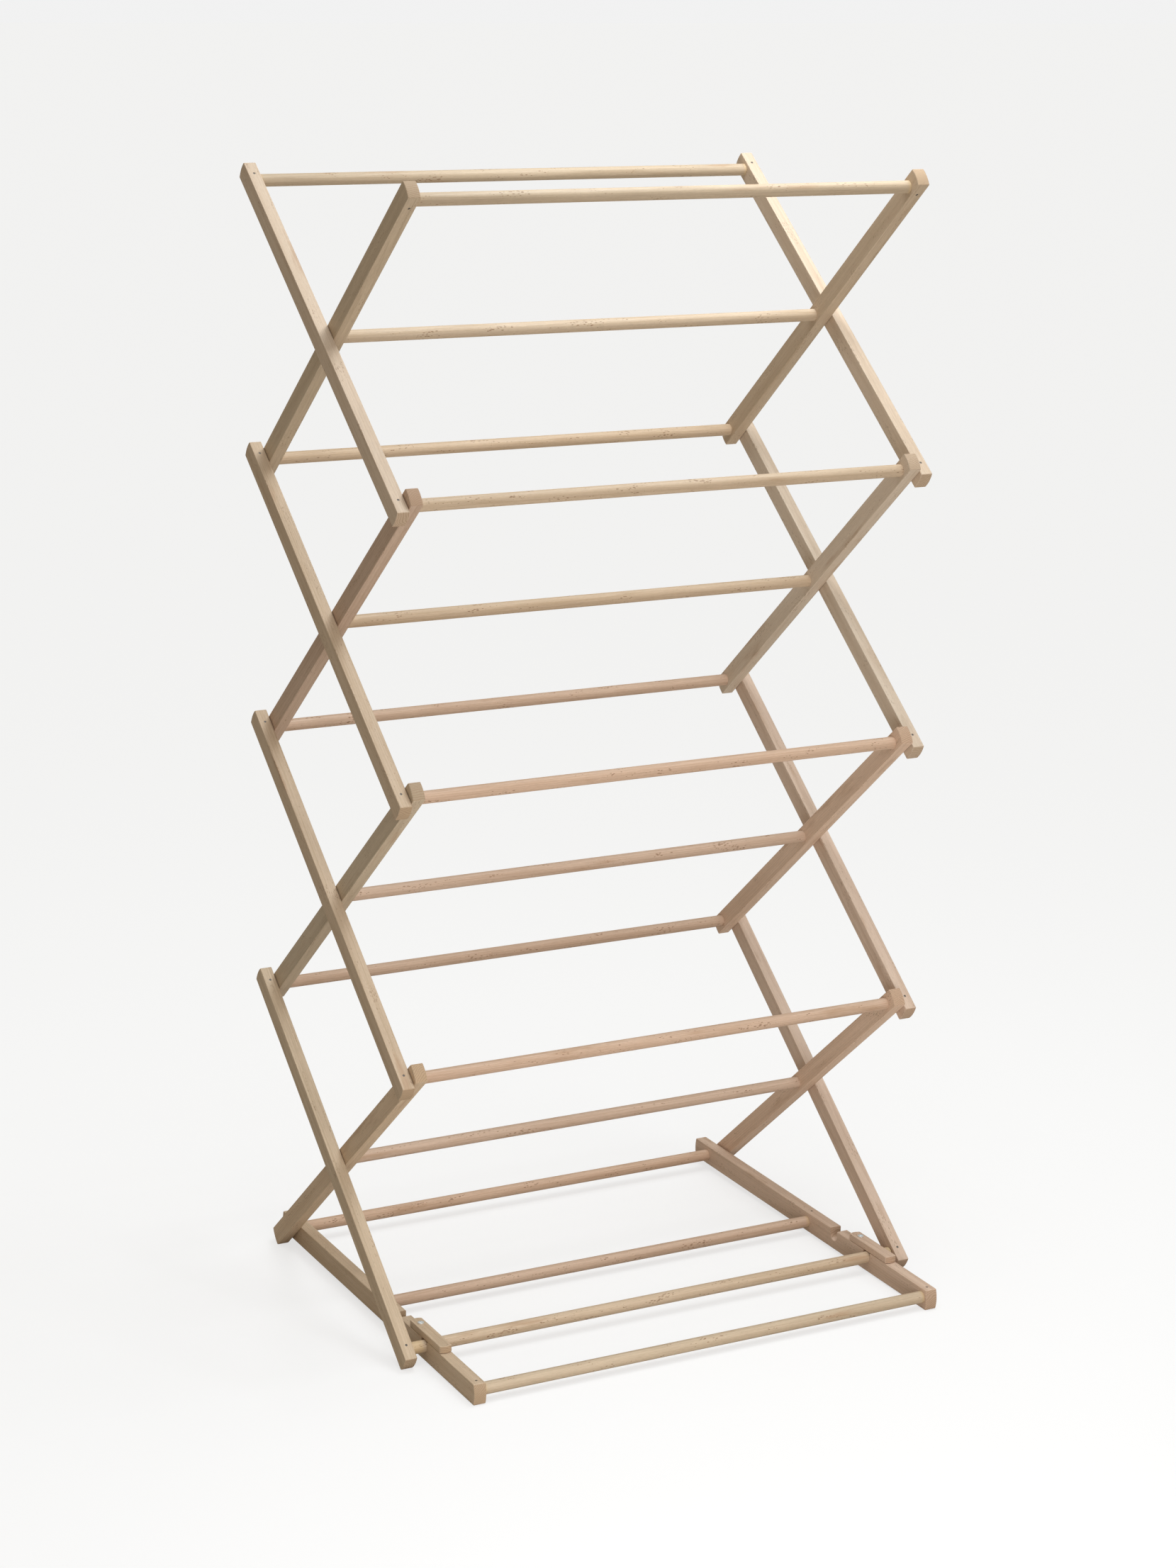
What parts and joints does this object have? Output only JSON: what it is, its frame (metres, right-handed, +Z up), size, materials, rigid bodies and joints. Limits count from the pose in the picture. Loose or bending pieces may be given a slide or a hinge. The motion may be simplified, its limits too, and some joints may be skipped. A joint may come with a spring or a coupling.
{
  "type": "clothes drying rack",
  "caption": "Folding concertina clothes drying rack: crossed beech bars joined by round hanging dowels, on a base frame with notches and swivel latches.",
  "frame": {"origin": "on the floor below the middle of the base rails, midway between the two side frames", "axes": "+Z up, X along the dowels, -Y towards the front, where the locking dowel lies in its notches"},
  "size_m": [0.722, 0.606, 1.4243],
  "materials": {
    "beech_bar": "sanded beech, unfinished",
    "beech_dowel": "turned beech dowel, unfinished",
    "zinc_screw": "bright zinc plated",
    "steel_brad": "plain steel pin"
  },
  "bodies": {
    "base": {"rail_left": "beech_bar", "rail_right": "beech_bar", "brace_dowel": "beech_dowel", "base_front_dowel": "beech_dowel", "locking_dowel": "beech_dowel", "latch_screw_left": "zinc_screw", "latch_screw_right": "zinc_screw", "brads_base": "steel_brad"},
    "inner_1": {"inner_bar_left_1": "beech_bar", "inner_bar_right_1": "beech_bar", "hinge_dowel": "beech_dowel", "brads_inner_1": "steel_brad"},
    "outer_1": {"outer_bar_left_1": "beech_bar", "outer_bar_right_1": "beech_bar", "cross_dowel_1": "beech_dowel", "back_dowel_1": "beech_dowel", "brads_outer_1": "steel_brad", "locking_dowel_ends": "beech_dowel"},
    "inner_2": {"inner_bar_left_2": "beech_bar", "inner_bar_right_2": "beech_bar"},
    "outer_2": {"outer_bar_left_2": "beech_bar", "outer_bar_right_2": "beech_bar", "cross_dowel_2": "beech_dowel", "back_dowel_2": "beech_dowel", "brads_outer_2": "steel_brad", "front_dowel_1": "beech_dowel"},
    "inner_3": {"inner_bar_left_3": "beech_bar", "inner_bar_right_3": "beech_bar"},
    "outer_3": {"outer_bar_left_3": "beech_bar", "outer_bar_right_3": "beech_bar", "cross_dowel_3": "beech_dowel", "back_dowel_3": "beech_dowel", "brads_outer_3": "steel_brad", "front_dowel_2": "beech_dowel"},
    "inner_4": {"inner_bar_left_4": "beech_bar", "inner_bar_right_4": "beech_bar", "top_front_dowel": "beech_dowel", "brads_inner_4": "steel_brad"},
    "outer_4": {"outer_bar_left_4": "beech_bar", "outer_bar_right_4": "beech_bar", "cross_dowel_4": "beech_dowel", "back_dowel_4": "beech_dowel", "brads_outer_4": "steel_brad", "front_dowel_3": "beech_dowel"},
    "latch_left": {"latch_left": "beech_bar"},
    "latch_right": {"latch_right": "beech_bar"}
  },
  "joints": [
    {"name": "fold", "type": "hinge", "parent": "base", "child": "inner_1", "pos_m": [0, 0.26897, 0.02132], "axis": [1, 0, 0], "range_deg": [-12.1, 34]},
    {"name": "crossing_1", "type": "hinge", "parent": "inner_1", "child": "outer_1", "pos_m": [0, 0.05497, 0.19403], "axis": [1, 0, 0], "range_deg": [-68, 24.2]},
    {"name": "back_joint_1", "type": "hinge", "parent": "outer_1", "child": "inner_2", "pos_m": [0, 0.26897, 0.36674], "axis": [1, 0, 0], "range_deg": [-24.2, 68]},
    {"name": "crossing_2", "type": "hinge", "parent": "inner_2", "child": "outer_2", "pos_m": [0, 0.05497, 0.53945], "axis": [1, 0, 0], "range_deg": [-68, 24.2]},
    {"name": "back_joint_2", "type": "hinge", "parent": "outer_2", "child": "inner_3", "pos_m": [0, 0.26897, 0.71216], "axis": [1, 0, 0], "range_deg": [-24.2, 68]},
    {"name": "crossing_3", "type": "hinge", "parent": "inner_3", "child": "outer_3", "pos_m": [0, 0.05497, 0.88487], "axis": [1, 0, 0], "range_deg": [-68, 24.2]},
    {"name": "back_joint_3", "type": "hinge", "parent": "outer_3", "child": "inner_4", "pos_m": [0, 0.26897, 1.05758], "axis": [1, 0, 0], "range_deg": [-24.2, 68]},
    {"name": "crossing_4", "type": "hinge", "parent": "inner_4", "child": "outer_4", "pos_m": [0, 0.05497, 1.23029], "axis": [1, 0, 0], "range_deg": [-68, 24.2]},
    {"name": "latch_left_swivel", "type": "hinge", "parent": "base", "child": "latch_left", "pos_m": [-0.3178, -0.13114, 0.02971], "axis": [0, -0.014, 0.9999], "range_deg": [0, 180]},
    {"name": "latch_right_swivel", "type": "hinge", "parent": "base", "child": "latch_right", "pos_m": [0.3178, -0.13114, 0.02971], "axis": [0, -0.014, 0.9999], "range_deg": [-180, 0]}
  ],
  "couplings": [
    {"joint": "crossing_1", "follows": "fold", "ratio": -2},
    {"joint": "back_joint_1", "follows": "fold", "ratio": 2},
    {"joint": "crossing_2", "follows": "fold", "ratio": -2},
    {"joint": "back_joint_2", "follows": "fold", "ratio": 2},
    {"joint": "crossing_3", "follows": "fold", "ratio": -2},
    {"joint": "back_joint_3", "follows": "fold", "ratio": 2},
    {"joint": "crossing_4", "follows": "fold", "ratio": -2}
  ]
}
